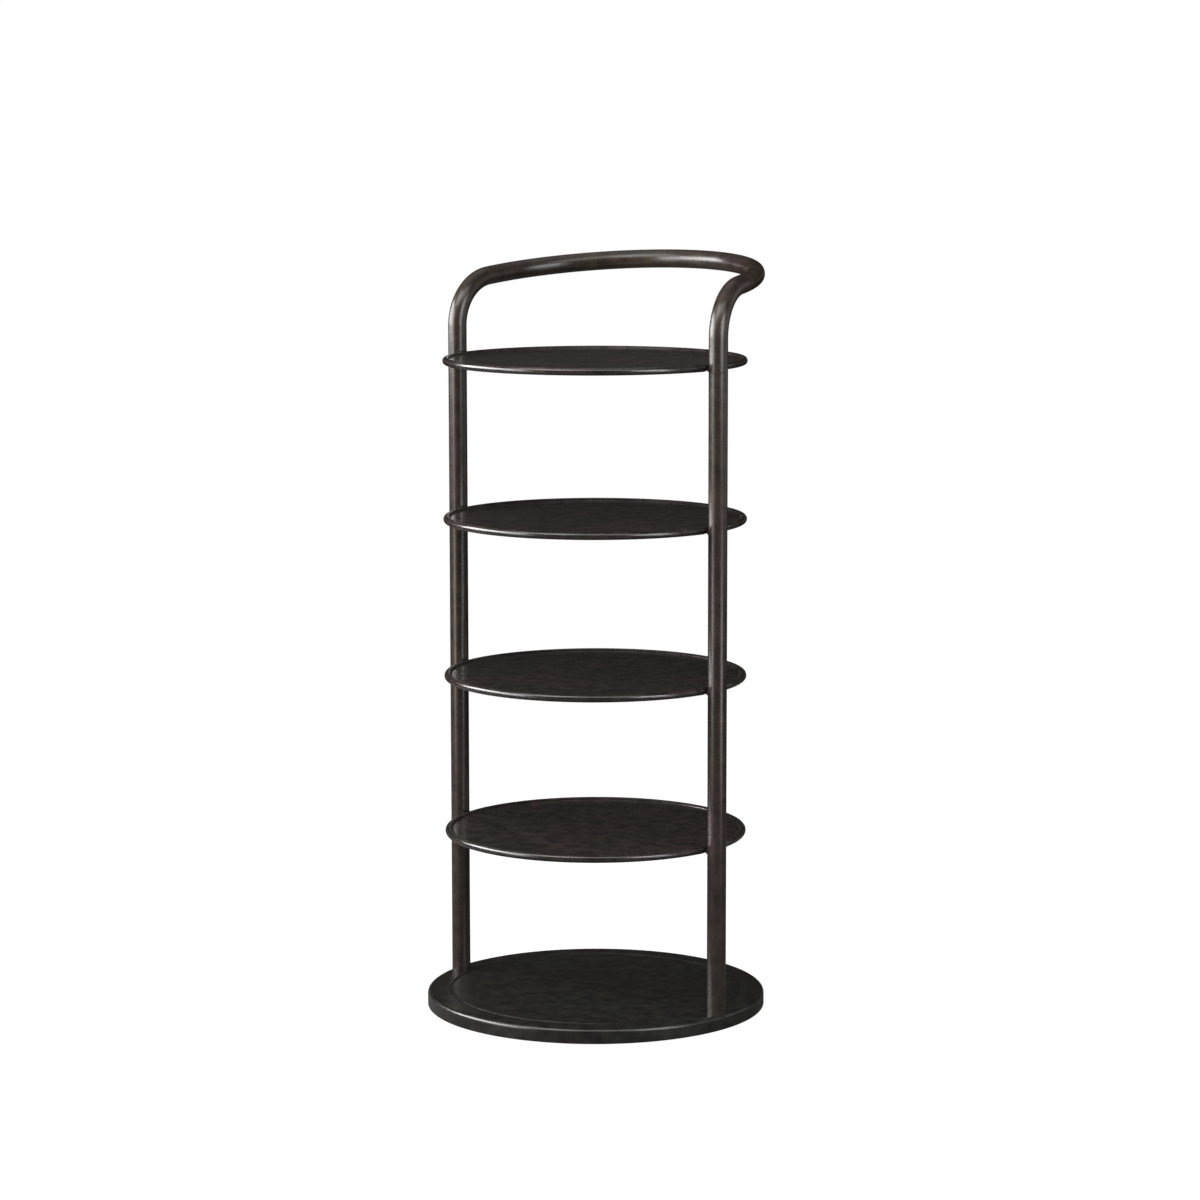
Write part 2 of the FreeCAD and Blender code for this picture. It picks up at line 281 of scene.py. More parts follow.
def turned_tree():
    """Turns a profile round the Z axis: X of its points is the distance from the axis."""
    tree, given = start_tree("turned", [("Segments", "Int"), ("Weld distance", "Float")])
    profile = given.outputs["Geometry"]
    count = step(tree, "GeometryNodeAttributeDomainSize", {"Geometry": profile})
    rows = maths(tree, "ADD", given.outputs["Segments"], 1)
    grid = step(tree, "GeometryNodeMeshGrid", {
        "Vertices X": count.outputs["Point Count"],
        "Vertices Y": rows,
    })
    index = step(tree, "GeometryNodeInputIndex").outputs["Index"]
    point = maths(tree, "FLOOR", maths(tree, "DIVIDE", index, rows))
    row = maths(tree, "MODULO", index, rows)
    share = maths(tree, "DIVIDE", row, given.outputs["Segments"])
    turn = maths(tree, "MULTIPLY", share, math.tau)
    position = step(tree, "GeometryNodeInputPosition").outputs["Position"]
    sample = step(tree, "GeometryNodeSampleIndex", {"Geometry": profile, "Index": point},
                  data_type="FLOAT_VECTOR")
    tree.links.new(position, sample.inputs["Value"])
    parts = step(tree, "ShaderNodeSeparateXYZ", {0: sample.outputs["Value"]})
    across = maths(tree, "MULTIPLY", parts.outputs["X"], maths(tree, "COSINE", turn))
    along = maths(tree, "MULTIPLY", parts.outputs["X"], maths(tree, "SINE", turn))
    place = step(tree, "ShaderNodeCombineXYZ", {"X": across, "Y": along, "Z": parts.outputs["Z"]})
    moved = step(tree, "GeometryNodeSetPosition", {
        "Geometry": grid.outputs["Mesh"],
        "Position": place.outputs["Vector"],
    })
    merged = step(tree, "GeometryNodeMergeByDistance", {
        "Geometry": moved.outputs["Geometry"],
        "Distance": given.outputs["Weld distance"],
    })
    return end_tree(tree, given, merged.outputs["Geometry"])


def bent_tube_tree():
    """Closed tube along a row of points, its ends drawn in by a small chamfer. The direction
    that it was drawn in is kept for the finish."""
    tree, given = start_tree("bent_tube", [
        ("Tube radius", "Float"), ("Sides", "Int"), ("Chamfer", "Float"),
    ])
    path = step(tree, "GeometryNodeMeshToCurve", {"Mesh": given.outputs["Geometry"]})
    marked = step(tree, "GeometryNodeStoreNamedAttribute", {
        "Geometry": path.outputs["Curve"],
        "Name": DRAWN_ALONG,
        "Value": step(tree, "GeometryNodeInputTangent").outputs["Tangent"],
    }, data_type="FLOAT_VECTOR", domain="POINT")
    circle = step(tree, "GeometryNodeCurvePrimitiveCircle", {
        "Resolution": given.outputs["Sides"],
        "Radius": given.outputs["Tube radius"],
    })
    ends = step(tree, "GeometryNodeCurveEndpointSelection", {"Start Size": 1, "End Size": 1})
    drawn = maths(tree, "DIVIDE", given.outputs["Chamfer"], given.outputs["Tube radius"])
    kept = maths(tree, "SUBTRACT", 1.0, maths(tree, "MULTIPLY", drawn, ends.outputs["Selection"]))
    tube = step(tree, "GeometryNodeCurveToMesh", {
        "Curve": marked.outputs["Geometry"],
        "Profile Curve": circle.outputs["Curve"],
        "Scale": kept,
        "Fill Caps": True,
    })
    return end_tree(tree, given, tube.outputs["Mesh"])


def screw_tree():
    """Cuts a key socket in the top of a turned screw. The prism that cuts it is centred on the
    top, so it is twice as long as the socket is deep."""
    tree, given = start_tree("screw", [
        ("Socket radius", "Float"), ("Socket depth", "Float"), ("Head height", "Float"),
    ])
    depth = maths(tree, "MULTIPLY", given.outputs["Socket depth"], 2)
    prism = step(tree, "GeometryNodeMeshCylinder", {
        "Vertices": SOCKET_SIDES,
        "Radius": given.outputs["Socket radius"],
        "Depth": depth,
    })
    lift = step(tree, "ShaderNodeCombineXYZ", {"Z": given.outputs["Head height"]})
    lifted = step(tree, "GeometryNodeTransform", {
        "Geometry": prism.outputs["Mesh"],
        "Translation": lift.outputs["Vector"],
    })
    cut = step(tree, "GeometryNodeMeshBoolean", {
        "Mesh 1": given.outputs["Geometry"],
        "Mesh 2": lifted.outputs["Geometry"],
    }, operation="DIFFERENCE", solver="EXACT")
    return end_tree(tree, given, cut.outputs["Mesh"])


def copies_tree():
    """Sets a copy of one shape on every point of a mesh, all turned the same way."""
    tree, given = start_tree("copies", [("Shape", "Object"), ("Turn", "Vector")])
    shape = step(tree, "GeometryNodeObjectInfo", {"Object": given.outputs["Shape"]})
    turn = step(tree, "FunctionNodeEulerToRotation", {"Euler": given.outputs["Turn"]})
    copies = step(tree, "GeometryNodeInstanceOnPoints", {
        "Points": given.outputs["Geometry"],
        "Instance": shape.outputs["Geometry"],
        "Rotation": turn.outputs["Rotation"],
    })
    return end_tree(tree, given, copies.outputs["Instances"])


def weld_tree():
    """Row of small overlapping beads along a line, as a hand weld leaves them. Of the random
    value's sockets, 2, 3 and 8 are the range of its plain number, output 1, and its seed."""
    tree, given = start_tree("weld", [
        ("Bead radius", "Float"), ("Spacing", "Float"), ("Unevenness", "Float"), ("Seed", "Int"),
    ])
    line = step(tree, "GeometryNodeMeshToCurve", {"Mesh": given.outputs["Geometry"]})
    spaced = step(tree, "GeometryNodeResampleCurve", {
        "Curve": line.outputs["Curve"],
        "Length": given.outputs["Spacing"],
    }, mode="LENGTH")
    bead = step(tree, "GeometryNodeMeshIcoSphere", {
        "Radius": given.outputs["Bead radius"],
        "Subdivisions": WELD_BEAD_SUBDIVISIONS,
    })
    low = maths(tree, "SUBTRACT", 1.0, given.outputs["Unevenness"])
    high = maths(tree, "ADD", 1.0, given.outputs["Unevenness"])
    uneven = step(tree, "FunctionNodeRandomValue", {2: low, 3: high, 8: given.outputs["Seed"]})
    tangent = step(tree, "GeometryNodeInputTangent").outputs["Tangent"]
    lean = step(tree, "FunctionNodeAlignRotationToVector", {"Vector": tangent}, axis="X")
    size = step(tree, "ShaderNodeCombineXYZ", {
        "X": maths(tree, "MULTIPLY", uneven.outputs[1], WELD_SHORTENING),
        "Y": uneven.outputs[1],
        "Z": uneven.outputs[1],
    })
    beads = step(tree, "GeometryNodeInstanceOnPoints", {
        "Points": spaced.outputs["Curve"],
        "Instance": bead.outputs["Mesh"],
        "Rotation": lean.outputs["Rotation"],
        "Scale": size.outputs["Vector"],
    })
    return end_tree(tree, given, beads.outputs["Instances"])


TURNED = turned_tree()
BENT_TUBE = bent_tube_tree()
SCREW = screw_tree()
COPIES = copies_tree()
WELD = weld_tree()


def evaluated(holder, name):
    """Plain mesh that an object's modifiers make of its mesh. The object is removed."""
    bpy.context.view_layer.update()
    graph = bpy.context.evaluated_depsgraph_get()
    result = bpy.data.meshes.new_from_object(holder.evaluated_get(graph))
    result.name = name
    bpy.data.objects.remove(holder)
    return result


def made_by(tree, mesh, name, finish, **sizes):
    """Runs a tree on a mesh and returns the plain mesh it makes. Underscores stand for spaces."""
    holder = new_object(name + "_start", mesh)
    modifier = holder.modifiers.new("shape", "NODES")
    modifier.node_group = tree
    values = {label.replace("_", " "): value for label, value in sizes.items()}
    values["Finish"] = finish
    for socket in tree.interface.items_tree:
        if socket.in_out == "INPUT" and socket.name in values:
            modifier[socket.identifier] = values[socket.name]
    return evaluated(holder, name)


def face_outwards(mesh):
    """Cleans a closed mesh in place and turns its faces outwards."""
    work = bmesh.new()
    work.from_mesh(mesh)
    bmesh.ops.remove_doubles(work, verts=work.verts, dist=SMALL)
    bmesh.ops.dissolve_degenerate(work, edges=work.edges, dist=SMALL)
    bmesh.ops.recalc_face_normals(work, faces=work.faces)
    work.to_mesh(mesh)
    work.free()


def turned(name, profile, finish, segments=PAN_SEGMENTS):
    """Mesh turned from (distance from the axis, height) points, its faces outwards."""
    line = line_mesh(name + "_profile", [(x, 0, z) for x, z in drop_doubles(profile)])
    mesh = made_by(TURNED, line, name, finish, Segments=segments, Weld_distance=SMALL)
    face_outwards(mesh)
    return mesh


def copied(name, shape_mesh, places, finish, turn):
    """Copies of a mesh at several places, all turned the same way."""
    shape = new_object(name + "_shape", shape_mesh)
    spots = point_mesh(name + "_places", places)
    mesh = made_by(COPIES, spots, name, finish, Shape=shape, Turn=turn)
    bpy.data.objects.remove(shape)
    return mesh


def cut_away(mesh, cutter):
    """Takes one closed mesh from another."""
    body = new_object("cut_body", mesh)
    tool = new_object("cut_tool", cutter)
    modifier = body.modifiers.new("cut", "BOOLEAN")
    modifier.operation = "DIFFERENCE"
    modifier.solver = "EXACT"
    modifier.object = tool
    result = evaluated(body, mesh.name)
    bpy.data.objects.remove(tool)
    return result


def is_level(face):
    """Whether a face lies level."""
    return abs(face.normal.z) > LEVEL_NORMAL


def soften(mesh, sharp_turn=CREASE, weighted=True, level_edges=False):
    """Smooth shading with creases where faces meet at more than an angle, and where asked also
    round each level face, so that it stays plane."""
    work = bmesh.new()
    work.from_mesh(mesh)
    crease = math.radians(sharp_turn)
    for face in work.faces:
        face.smooth = True
    for edge in work.edges:
        if len(edge.link_faces) == 2:
            ends_level = is_level(edge.link_faces[0]) != is_level(edge.link_faces[1])
            edge.smooth = edge.calc_face_angle() < crease and not (level_edges and ends_level)
    work.to_mesh(mesh)
    work.free()
    if not weighted:
        return mesh
    holder = new_object("soften", mesh)
    modifier = holder.modifiers.new("normals", "WEIGHTED_NORMAL")
    modifier.keep_sharp = True
    return evaluated(holder, mesh.name)


def joined(meshes, name):
    """One mesh that holds several."""
    work = bmesh.new()
    for mesh in meshes:
        work.from_mesh(mesh)
    result = bpy.data.meshes.new(name)
    work.to_mesh(result)
    work.free()
    return result


def finished_piece(name, mesh, slot, *nodes):
    """Object for a finished mesh, riding on the rack, in the place of its nodes."""
    piece = new_object(name, mesh)
    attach(piece, BODY)
    if nodes:
        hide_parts(*nodes)


# Finishes

WHITE = (1, 1, 1, 1)

# Patterns of the enamel
HUE_PATTERN = {"scale": 9.0}
STREAK_PATTERN = {"scale": 70.0, "detail": 5.0, "roughness": 0.62}
GRAIN_PATTERN = {"scale": 520.0, "detail": 3.0, "roughness": 0.6}
CLOUD_PATTERN = {"scale": 90.0, "detail": 5.0, "roughness": 0.65}
WAVE_PATTERN = {"scale": 160.0, "detail": 3.0}
PEEL_PATTERN = {"scale": 900.0}

# Patterns of the other finishes
FIBRE_PATTERN = {"scale": 420.0, "detail": 6.0, "roughness": 0.7, "distortion": 2.0}
FLECK_SCALE = 700.0
CAST_PATTERN = {"scale": 120.0, "detail": 3.0}
SCUFF_PATTERN = {"scale": 1500.0, "detail": 3.0, "roughness": 0.6}
BLOTCH_PATTERN = {"scale": 500.0, "detail": 3.0}
MOULD_PATTERN = {"scale": 1200.0, "detail": 3.0, "roughness": 0.6}

# Ranges of a pattern's values that its effect is spread over
WIDE_SPAN = (0.3, 0.7)
MIDDLE_SPAN = (0.35, 0.65)
HUE_SPAN = (0.44, 0.56)
STREAK_SPAN = (0.38, 0.63)
FLECK_SPAN = (0.08, 0.25)

# Effects at the ends of these ranges
STREAK_EFFECT = (0.0, 0.8)
GRAIN_EFFECT = (0.0, 0.2)
FLECK_EFFECT = (0.55, 0.0)

# Relief
ENAMEL_PEEL = 0.0009 * MM
ENAMEL_WAVES = 0.004 * MM
FIBRE_RELIEF = 0.12 * MM
METAL_RELIEF = 0.02 * MM
RUBBER_RELIEF = 0.05 * MM


def start_finish(name):
    """New material, its emptied tree and the place on the surface that patterns go by."""
    material = bpy.data.materials.new(name)
    material.use_nodes = True
    tree = material.node_tree
    tree.nodes.clear()
    return material, tree, step(tree, "ShaderNodeTexCoord").outputs["Object"]


def noise(tree, where, scale, detail=2.0, roughness=0.5, distortion=0.0):
    """Value of a pattern, its scale in cells per metre."""
    node = step(tree, "ShaderNodeTexNoise", {
        "Vector": where, "Scale": scale, "Detail": detail, "Roughness": roughness,
        "Distortion": distortion,
    })
    return node.outputs["Fac"]


def spread(tree, value, span, result=(0.0, 1.0)):
    """Maps a value from one range to another, ends held."""
    node = step(tree, "ShaderNodeMapRange", {
        "Value": value, "From Min": span[0], "From Max": span[1],
        "To Min": result[0], "To Max": result[1],
    })
    return node.outputs["Result"]


def mixed(tree, factor, first, second):
    """Mix of two colours, which are the sockets 6 and 7 and output 2."""
    node = step(tree, "ShaderNodeMix", {0: factor, 6: first, 7: second}, data_type="RGBA")
    return node.outputs[2]


def bumped(tree, height, distance, **under):
    """Normal of a relief, on another relief's Normal if one is given."""
    inputs = {"Height": height, "Distance": distance, **under}
    return step(tree, "ShaderNodeBump", inputs).outputs["Normal"]


def end_finish(tree, **inputs):
    """Closes a finish with the surface shader. Underscores stand for spaces."""
    named = {key.replace("_", " "): value for key, value in inputs.items()}
    shader = step(tree, "ShaderNodeBsdfPrincipled", named)
    step(tree, "ShaderNodeOutputMaterial", {"Surface": shader.outputs["BSDF"]})


def enamel(name, dark, brown, green, roughness, coat, coat_roughness, drawn=0.0):
    """Baked black enamel, its black a little brown or green from place to place, with cloudy
    streaks, fine orange peel and a longer waviness. On a drawn tube the gloss spreads round."""
    material, tree, where = start_finish(name)
    hue = mixed(tree, spread(tree, noise(tree, where, **HUE_PATTERN), HUE_SPAN), brown, green)
    streaks = spread(tree, noise(tree, where, **STREAK_PATTERN), STREAK_SPAN, STREAK_EFFECT)
    grain = spread(tree, noise(tree, where, **GRAIN_PATTERN), WIDE_SPAN, GRAIN_EFFECT)
    colour = mixed(tree, maths(tree, "ADD", streaks, grain), dark, hue)
    gloss = spread(tree, noise(tree, where, **CLOUD_PATTERN), WIDE_SPAN, roughness)
    waves = bumped(tree, noise(tree, where, **WAVE_PATTERN), ENAMEL_WAVES)
    normal = bumped(tree, noise(tree, where, **PEEL_PATTERN), ENAMEL_PEEL, Normal=waves)
    inputs = {"Anisotropic": drawn}
    if drawn:
        along = step(tree, "ShaderNodeAttribute", attribute_name=DRAWN_ALONG).outputs["Vector"]
        facing = step(tree, "ShaderNodeNewGeometry").outputs["Normal"]
        inputs["Tangent"] = step(tree, "ShaderNodeVectorMath", {0: facing, 1: along},
                                 operation="CROSS_PRODUCT").outputs["Vector"]
    end_finish(tree, Base_Color=colour, Roughness=gloss, Normal=normal,
               Coat_Weight=coat, Coat_Roughness=coat_roughness, **inputs)
    return material


def fibre_board(name, pale, brown, fleck, roughness):
    """Raw fibreboard: felted brown fibres, darker flecks, matt."""
    material, tree, where = start_finish(name)
    fibres = noise(tree, where, **FIBRE_PATTERN)
    cells = step(tree, "ShaderNodeTexVoronoi", {"Vector": where, "Scale": FLECK_SCALE})
    base = mixed(tree, spread(tree, fibres, WIDE_SPAN), brown, pale)
    flecked = spread(tree, cells.outputs["Distance"], FLECK_SPAN, FLECK_EFFECT)
    end_finish(tree, Base_Color=mixed(tree, flecked, base, fleck),
               Roughness=spread(tree, fibres, WIDE_SPAN, roughness),
               Normal=bumped(tree, fibres, FIBRE_RELIEF))
    return material


def grained(name, first, second, drift, drift_span, grain, roughness, relief, metallic=0.0):
    """Finish whose colour drifts between two, with a fine grain in its gloss and relief."""
    material, tree, where = start_finish(name)
    drifting = spread(tree, noise(tree, where, **drift), drift_span)
    grains = noise(tree, where, **grain)
    end_finish(tree, Base_Color=mixed(tree, drifting, first, second),
               Roughness=spread(tree, grains, WIDE_SPAN, roughness), Metallic=metallic,
               Normal=bumped(tree, grains, relief))
    return material


TUBE_PAINT = enamel(
    "black_tube_enamel", dark=(0.020, 0.014, 0.012, 1), brown=(0.046, 0.029, 0.028, 1),
    green=(0.042, 0.031, 0.021, 1), roughness=(0.25, 0.33), coat=0.25, coat_roughness=0.22,
    drawn=0.6)
TAB_PAINT = enamel(
    "black_tab_enamel", dark=(0.020, 0.015, 0.013, 1), brown=(0.042, 0.028, 0.026, 1),
    green=(0.034, 0.026, 0.021, 1), roughness=(0.30, 0.40), coat=0.2, coat_roughness=0.22)
PAN_PAINT = enamel(
    "black_pan_enamel", dark=(0.010, 0.008, 0.007, 1), brown=(0.048, 0.032, 0.028, 1),
    green=(0.031, 0.028, 0.021, 1), roughness=(0.22, 0.31), coat=0.7, coat_roughness=0.18)
BASE_PAINT = enamel(
    "black_base_enamel", dark=(0.004, 0.003, 0.003, 1), brown=(0.022, 0.016, 0.012, 1),
    green=(0.019, 0.020, 0.014, 1), roughness=(0.29, 0.38), coat=0.6, coat_roughness=0.25)
BOARD_FINISH = fibre_board(
    "raw_fibreboard", pale=(0.36, 0.25, 0.15, 1), brown=(0.22, 0.14, 0.08, 1),
    fleck=(0.13, 0.08, 0.045, 1), roughness=(0.75, 0.9))

# Zinc plating: pale grey with a faint blue and yellow cast and fine scuffs
ZINC = grained(
    "zinc_plate", (0.55, 0.57, 0.6, 1), (0.64, 0.62, 0.54, 1), drift=CAST_PATTERN,
    drift_span=MIDDLE_SPAN, grain=SCUFF_PATTERN, roughness=(0.28, 0.48), relief=METAL_RELIEF,
    metallic=1.0)

# Black oxide on screws: nearly black and satin
BLACK_OXIDE = grained(
    "black_oxide", (0.018, 0.018, 0.02, 1), (0.05, 0.047, 0.045, 1), drift=BLOTCH_PATTERN,
    drift_span=MIDDLE_SPAN, grain=BLOTCH_PATTERN, roughness=(0.32, 0.5), relief=METAL_RELIEF,
    metallic=0.6)

# Moulded black rubber: matt, with a fine grain
RUBBER = grained(
    "pad_rubber", (0.028, 0.028, 0.028, 1), (0.05, 0.05, 0.048, 1), drift=MOULD_PATTERN,
    drift_span=WIDE_SPAN, grain=MOULD_PATTERN, roughness=(0.7, 0.85), relief=RUBBER_RELIEF)


# Pans

def outward_turn(side):
    """Turn about the Z axis from +X to the line from the pans' axis to a post."""
    return math.atan2(-POST_FORWARD, SIDES[side] * POST_SIDE)


def outward(side):
    """Level direction from the pans' axis to a post."""
    return Vector((SIDES[side] * POST_SIDE, -POST_FORWARD, 0)).normalized()


def pan_profile():
    """Flat floor, small inner corner, and a rim rolled over, round and under to its edge."""
    bead = (PAN_RADIUS - RIM_RADIUS, 0)
    rise = FLOOR_TOP + PAN_CORNER_RADIUS
    run = math.sqrt((RIM_RADIUS + PAN_CORNER_RADIUS) ** 2 - rise ** 2)
    corner = (bead[0] - run, rise)
    touch_turn = math.degrees(math.atan2(rise, -run))
    inner = RIM_RADIUS - PAN_SHEET
    slot_turn = -180 - math.degrees(math.asin(FLOOR_BOTTOM / inner))
    points = [(0, FLOOR_BOTTOM)]
    points += arc_points(bead, inner, slot_turn, ROLL_END_TURN, ROLL_EDGE_STEPS)
    points += arc_points(bead, RIM_RADIUS, ROLL_END_TURN, touch_turn, RIM_STEPS)
    points += arc_points(corner, PAN_CORNER_RADIUS, touch_turn - 180, -90, PAN_CORNER_STEPS)
    points += [(0, FLOOR_TOP)]
    return points


def screw_points(height):
    """Places of a pan's screws, at a height."""
    tip = PAN_RADIUS + POST_RIM_GAP - TAB_LENGTH + SCREW_TIP_INSET
    distances = [PAN_RADIUS - SCREW_INSET, tip]
    places = [outward(side) * distance for side in SIDES for distance in distances]
    return [place + UP * height for place in places]


def box_mesh(name, low, high, turn):
    """Box between two corners, turned about the Z axis."""
    mesh = bpy.data.meshes.new(name)
    work = bmesh.new()
    bmesh.ops.create_cube(work, size=1)
    size = Vector(high) - Vector(low)
    middle = (Vector(high) + Vector(low)) / 2
    place = Matrix.Rotation(turn, 4, "Z") @ Matrix.Translation(middle) @ Matrix.Diagonal((*size, 1))
    work.transform(place)
    work.to_mesh(mesh)
    work.free()
    return mesh


def countersink_profile(radius, head_radius, above, below):
    """Section of a hole whose countersink ends at height 0."""
    run = head_radius - radius
    return [
        (0, -below), (radius, -below), (radius, -run),
        (head_radius, 0), (head_radius, above), (0, above),
    ]


def pan_mesh():
    """Pan with a notch for each tab under its rim and countersunk holes for its screws."""
    mesh = turned("pan", pan_profile(), PAN_PAINT)
    half = TAB_WIDTH / 2 + TAB_NOTCH_GAP
    low = (PAN_RADIUS - 2 * RIM_RADIUS - OVERRUN, -half, -RIM_RADIUS - OVERRUN)
    high = (PAN_RADIUS + OVERRUN, half, FLOOR_BOTTOM + NOTCH_BITE)
    notches = [box_mesh("notch", low, high, outward_turn(side)) for side in SIDES]
    mesh = cut_away(mesh, joined(notches, "notches"))
    profile = countersink_profile(SCREW_RADIUS + SCREW_HOLE_GAP, SCREW_HEAD_RADIUS + SCREW_HOLE_GAP,
                                  OVERRUN, SCREW_LENGTH)
    hole = turned("hole", profile, PAN_PAINT, SCREW_SEGMENTS)
    holes = copied("holes", hole, screw_points(FLOOR_TOP), PAN_PAINT, UNTURNED)
    return soften(cut_away(mesh, holes), level_edges=True)


def raised(mesh, height, name):
    """Copy of a mesh at a height."""
    copy = mesh.copy()
    copy.name = name
    copy.transform(Matrix.Translation(UP * height))
    return copy


# Screws

def countersunk_screw():
    """Countersunk screw with its flat top at height 0 and a turned thread. Its key socket is cut
    where it is copied.
    """
    run = SCREW_HEAD_RADIUS - SCREW_RADIUS
    points = [(0, -SCREW_LENGTH), (SCREW_RADIUS - 2 * THREAD_DEPTH, -SCREW_LENGTH)]
    height = -SCREW_LENGTH + THREAD_PITCH / 2
    while height < -run - THREAD_PITCH / 2:
        points.append((SCREW_RADIUS, height))
        points.append((SCREW_RADIUS - THREAD_DEPTH, height + THREAD_PITCH / 2))
        height += THREAD_PITCH
    points += [
        (SCREW_RADIUS, -run), (SCREW_HEAD_RADIUS, -SCREW_EDGE),
        (SCREW_HEAD_RADIUS - SCREW_EDGE, 0), (0, 0),
    ]
    return turned("screw", points, BLACK_OXIDE, SCREW_SEGMENTS)


def domed_screw():
    """Button-head screw, its seat at height 0."""
    rise = LOCK_HEAD_HEIGHT
    reach = LOCK_HEAD_RADIUS
    dome = (reach ** 2 + rise ** 2) / (2 * rise)
    start = math.degrees(math.asin(reach / dome))
    points = [(0, -LOCK_LENGTH), (LOCK_RADIUS, -LOCK_LENGTH), (LOCK_RADIUS, 0), (reach, 0)]
    points += arc_points((0, rise - dome), dome, 90 - start, 90, DOME_STEPS)
    return turned("lock_screw", points, BLACK_OXIDE, SCREW_SEGMENTS)


def bolt():
    """Cylinder-head bolt, the underside of its head at height 0 and its shank down."""
    points = [
        (0, -BOLT_LENGTH), (BOLT_RADIUS - BOLT_EDGE, -BOLT_LENGTH),
        (BOLT_RADIUS, -BOLT_LENGTH + BOLT_EDGE), (BOLT_RADIUS, 0), (BOLT_HEAD_RADIUS, 0),
        (BOLT_HEAD_RADIUS, BOLT_HEAD_HEIGHT - BOLT_EDGE),
        (BOLT_HEAD_RADIUS - BOLT_EDGE, BOLT_HEAD_HEIGHT), (0, BOLT_HEAD_HEIGHT),
    ]
    return turned("bolt", points, ZINC, BOLT_SEGMENTS)


def copied_screws(name, one, places, finish, turn, head_height,
                  socket_radius=SOCKET_RADIUS, socket_depth=SOCKET_DEPTH):
    """Copies of a screw at several places, each with its key socket."""
    socketed = made_by(SCREW, one, name + "_one", finish, Socket_radius=socket_radius,
                       Socket_depth=socket_depth, Head_height=head_height)
    softened = soften(socketed, SMALL_PIECE_CREASE, weighted=False)
    return copied(name, softened, places, finish, turn)


# Tubes

def post_axis(side, height):
    """Point on a post's middle line."""
    return Vector((SIDES[side] * POST_SIDE, -POST_FORWARD, height))


def end_points(end, onward):
    """A tube's end and the point where its chamfer is over."""
    return [end, end + onward * TUBE_CHAMFER]


def post_points(side):
    """Middle line of a post, from where its coped foot ends to the joint with the hoop."""
    low = post_axis(side, BASE_HEIGHT - FOOT_COPE)
    high = post_axis(side, JOINT)
    return end_points(low, UP) + end_points(high, -UP)[::-1]


def hoop_points():
    """Middle line of the hoop: leg, bend, ring stretch round the back, bend and leg."""
    across = Vector((1, 0, 0))
    slope = Vector((0, math.cos(HOOP_TILT), math.sin(HOOP_TILT)))
    to_ring = slope * math.cos(HOOP_TOE_IN) - across * math.sin(HOOP_TOE_IN)
    half_angle = to_ring.angle(-UP) / 2
    tangent_length = HOOP_BEND_RADIUS / math.tan(half_angle)
    leg_end = post_axis("right", JOINT)
    bend_start = leg_end + UP * HOOP_LEG
    corner = bend_start + UP * tangent_length
    bend_end = corner + to_ring * tangent_length
    into_bend = (to_ring - UP).normalized()
    bend_centre = corner + into_bend * (HOOP_BEND_RADIUS / math.sin(half_angle))

    from_start = (bend_start - bend_centre).normalized()
    from_end = (bend_end - bend_centre).normalized()
    whole = from_start.angle(from_end)
    bend = []
    for place in range(HOOP_BEND_STEPS + 1):
        turn = whole * place / HOOP_BEND_STEPS
        spoke = from_start * math.sin(whole - turn) + from_end * math.sin(turn)
        bend.append(bend_centre + spoke * (HOOP_BEND_RADIUS / math.sin(whole)))

    ring_radius = bend_end.x / math.cos(HOOP_TOE_IN)
    to_centre = -(across * math.cos(HOOP_TOE_IN) + slope * math.sin(HOOP_TOE_IN))
    ring_centre = bend_end + to_centre * ring_radius
    ring = []
    for place in range(1, HOOP_RING_STEPS + 1):
        turn = HOOP_TOE_IN + (math.pi / 2 - HOOP_TOE_IN) * place / HOOP_RING_STEPS
        ring.append(ring_centre + (across * math.cos(turn) + slope * math.sin(turn)) * ring_radius)

    half = end_points(leg_end, UP) + bend + ring
    other = [Vector((-point.x, point.y, point.z)) for point in reversed(half[:-1])]
    return half + other


def tube_mesh(name, points):
    """Closed tube along a middle line."""
    mesh = made_by(BENT_TUBE, line_mesh(name + "_line", points), name, TUBE_PAINT,
                   Tube_radius=TUBE_RADIUS, Sides=TUBE_SIDES, Chamfer=TUBE_CHAMFER)
    face_outwards(mesh)
    return mesh


def post_mesh(name, side):
    """Post with its foot coped to the base's top and rounded edge."""
    filled_base = turned("filled_base", outside_profile(), TUBE_PAINT)
    mesh = cut_away(tube_mesh(name, post_points(side)), filled_base)
    mesh.name = name
    return mesh


# Tabs and welds

def tab_mesh(side, rim_height, name):
    """Plate with a round tip under the pan and a hollow end round the tube, edges eased."""
    top = rim_height + FLOOR_BOTTOM
    half = TAB_WIDTH / 2
    tip = PAN_RADIUS + POST_RIM_GAP - TAB_LENGTH
    swing = math.degrees(math.asin(half / TUBE_RADIUS))
    outline = arc_points((tip + half, 0), half, 90, 270, TAB_TIP_STEPS)
    outline += arc_points((POST_CIRCLE, 0), TUBE_RADIUS, 180 + swing, 180 - swing, TAB_COPE_STEPS)
    mesh = bpy.data.meshes.new(name)
    work = bmesh.new()
    low = [work.verts.new((x, y, top - TAB_THICKNESS)) for x, y in outline]
    extruded = bmesh.ops.extrude_face_region(work, geom=[work.faces.new(low)])
    lifted = [item for item in extruded["geom"] if isinstance(item, bmesh.types.BMVert)]
    bmesh.ops.translate(work, verts=lifted, vec=UP * TAB_THICKNESS)
    bmesh.ops.recalc_face_normals(work, faces=work.faces)
    rims = [edge for edge in work.edges if abs(edge.verts[0].co.z - edge.verts[1].co.z) < SMALL]
    bmesh.ops.bevel(work, geom=rims, offset=TAB_EDGE, segments=TAB_EDGE_SEGMENTS,
                    profile=ROUND_PROFILE, affect="EDGES")
    work.transform(Matrix.Rotation(outward_turn(side), 4, "Z"))
    work.to_mesh(mesh)
    work.free()
    mesh.materials.append(TAB_PAINT)
    return soften(mesh, TAB_CREASE)


